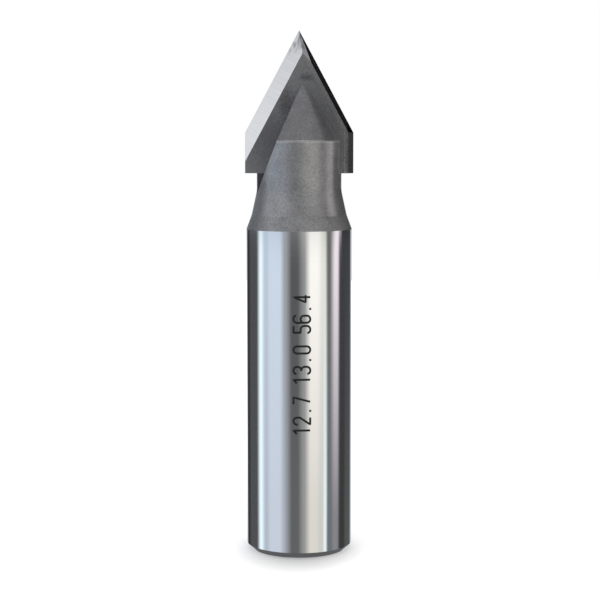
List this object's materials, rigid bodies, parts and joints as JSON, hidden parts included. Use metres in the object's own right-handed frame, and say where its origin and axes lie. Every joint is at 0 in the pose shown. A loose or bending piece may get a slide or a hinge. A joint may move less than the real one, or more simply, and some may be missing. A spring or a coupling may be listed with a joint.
{
  "type": "v groove router bit",
  "caption": "Router bit with a plain round shank, a waisted head and a brazed carbide blade ground to a sharp V point for cutting V grooves.",
  "frame": {"origin": "centre of the shank's flat end face, which the bit stands on", "axes": "+Z along the bit's axis from the shank end to the cutting point; the blade's flat faces look along -Y and +Y, and its cutting edges lie in the XZ plane"},
  "size_m": [0.013, 0.0126, 0.0627],
  "materials": {
    "tool_steel": "ground shank, blasted head",
    "carbide": "sintered faces with ground cutting bevels"
  },
  "bodies": {
    "root": {"steel_body": "tool_steel", "carbide_blade": "carbide"}
  },
  "joints": []
}
